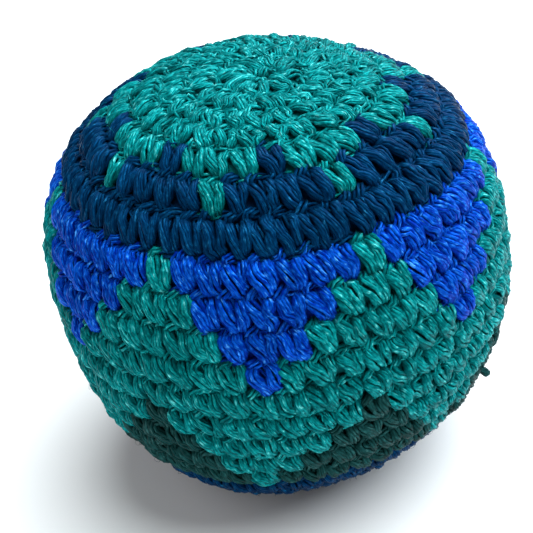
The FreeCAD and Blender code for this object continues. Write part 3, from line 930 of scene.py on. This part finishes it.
def tie_of_thread():
    """A few turns of thread round the pouch's neck."""
    rng = np.random.default_rng(TIE_SEED)
    turns, rings = 3, 72
    angle = np.linspace(0, turns * math.tau, rings)
    radius = LINER_NECK_RADIUS + TIE_RADIUS
    height = LINER_NECK_HEIGHT + TIE_RADIUS * np.linspace(-1.2, 1.2, rings)
    path = np.stack([radius * np.sin(angle), -radius * np.cos(angle), height], axis=-1)[None]
    strands = Strands()
    size = np.full((1, rings), TIE_RADIUS)
    make = {"plies": 3, "sides": 6, "rings": rings}
    strands.add(rng, path, np.array([[1.0, 0.0, 0.0]]), size, size, TIE_TWIST, np.array([0.5]), make)
    tie = linked("liner_tie_thread", strands.mesh("liner_tie_thread"))
    tie.data.materials.append(yarn_material("tie_linen", *TIE_SHADES))
    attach(tie, "root")
    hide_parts("liner_tie")


def fill():
    """The pellets keep their CAD form."""
    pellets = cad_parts["pellets"]
    pellets.data.materials.clear()
    pellets.data.materials.append(pellet_material())


# ---------------------------------------------------------------- stage, light and camera
CAMERA_ELEVATION = 32.9   # in degrees, as the roll is
CAMERA_ROLL = 7.3
CAMERA_DISTANCE = 5 * EQUATOR_RADIUS
CAMERA_LENS = 76.5
SENSOR = 36.0
AIM_LEFT = 0.0081       # how far left of the ball's middle the camera looks, as a share of the distance
AIM_UP = -0.0178        # and how far above it
AMBIENT_LIGHT = 0.175
BACKDROP_LIGHT = 0.9
# Name, place, width, power and colour
LIGHTS = (
    ("fill", (-0.60, -0.15, 0.45), 0.9, 1.9, (1, 1, 1)),
    ("overhead", (0.34, 0.18, 0.62), 1.3, 21.5, (0.90, 0.97, 1.0)),
)
FLOOR_REACH = 2.0
FADE_START = 0.45   # from here to the end of the fade, the floor comes up to the backdrop's brightness
FADE_END = 1.5


def camera():
    data = bpy.data.cameras.new("camera")
    data.lens = CAMERA_LENS
    data.sensor_width = SENSOR
    data.clip_start = 0.01
    eye = linked("camera", data)
    up_angle = math.radians(CAMERA_ELEVATION)
    back = Vector((0, -math.cos(up_angle), math.sin(up_angle)))
    middle = Vector((0, 0, EQUATOR_Z))
    eye.location = middle + back * CAMERA_DISTANCE
    basis = back.to_track_quat("Z", "Y").to_matrix()
    roll = Matrix.Rotation(math.radians(-CAMERA_ROLL), 3, "Z")
    turned = basis @ roll
    side, up = turned.col[0], turned.col[1]
    target = middle - side * AIM_LEFT * CAMERA_DISTANCE + up * AIM_UP * CAMERA_DISTANCE
    view = (eye.location - target).normalized()
    right = up.cross(view).normalized()
    eye.rotation_mode = "QUATERNION"
    eye.rotation_quaternion = Matrix((right, view.cross(right), view)).transposed().to_quaternion()
    bpy.context.scene.camera = eye


def area_light(name, place, size, power, colour):
    """A round lamp that points at the ball."""
    data = bpy.data.lights.new(name, "AREA")
    data.shape = "DISK"
    data.size = size
    data.energy = power
    data.color = colour
    lamp = linked(name, data)
    lamp.location = place
    lamp.rotation_mode = "QUATERNION"
    lamp.rotation_quaternion = (Vector(place) - Vector((0, 0, EQUATOR_Z))).to_track_quat("Z", "Y")


def floor_material():
    """Pale and matt, and glowing a little more with distance, so that no edge shows at the horizon."""
    nodes = Nodes("pale_floor")
    nodes.put(nodes.shader.inputs["Base Color"], (0.9, 0.9, 0.9, 1))
    nodes.put(nodes.shader.inputs["Roughness"], 0.9)
    place = nodes.add("ShaderNodeTexCoord").outputs["Object"]
    away = nodes.add("ShaderNodeVectorMath", [(0, place)], operation="LENGTH").outputs["Value"]
    fade = nodes.add("ShaderNodeMapRange", [("Value", away)], interpolation_type="SMOOTHSTEP")
    fade.inputs["From Min"].default_value = FADE_START
    fade.inputs["From Max"].default_value = FADE_END
    fade.inputs["To Max"].default_value = BACKDROP_LIGHT - AMBIENT_LIGHT
    nodes.put(nodes.shader.inputs["Emission Color"], (1, 1, 1, 1))
    nodes.put(nodes.shader.inputs["Emission Strength"], fade.outputs["Result"])
    return nodes.material


def ground():
    mesh = bpy.data.meshes.new("floor")
    corners = [(-FLOOR_REACH, -FLOOR_REACH, 0), (FLOOR_REACH, -FLOOR_REACH, 0),
               (FLOOR_REACH, FLOOR_REACH, 0), (-FLOOR_REACH, FLOOR_REACH, 0)]
    mesh.from_pydata(corners, [], [(0, 1, 2, 3)])
    floor = linked("floor", mesh)
    mesh.materials.append(floor_material())


def surroundings():
    """A backdrop that the camera sees brighter than it lights the ball, and the lamps."""
    world = bpy.data.worlds.new("studio")
    world.use_nodes = True
    background = world.node_tree.nodes["Background"]
    background.inputs["Color"].default_value = (1, 1, 1, 1)
    seen = world.node_tree.nodes.new("ShaderNodeLightPath").outputs["Is Camera Ray"]
    strength = world.node_tree.nodes.new("ShaderNodeMapRange")
    strength.inputs["To Min"].default_value = AMBIENT_LIGHT
    strength.inputs["To Max"].default_value = BACKDROP_LIGHT
    world.node_tree.links.new(seen, strength.inputs["Value"])
    world.node_tree.links.new(strength.outputs["Result"], background.inputs["Strength"])
    bpy.context.scene.world = world
    bpy.context.scene.view_settings.view_transform = "Standard"
    for light in LIGHTS:
        area_light(*light)


cover()
backing()
ends_of_yarn()
pouch_of_cloth()
tie_of_thread()
fill()
camera()
ground()
surroundings()
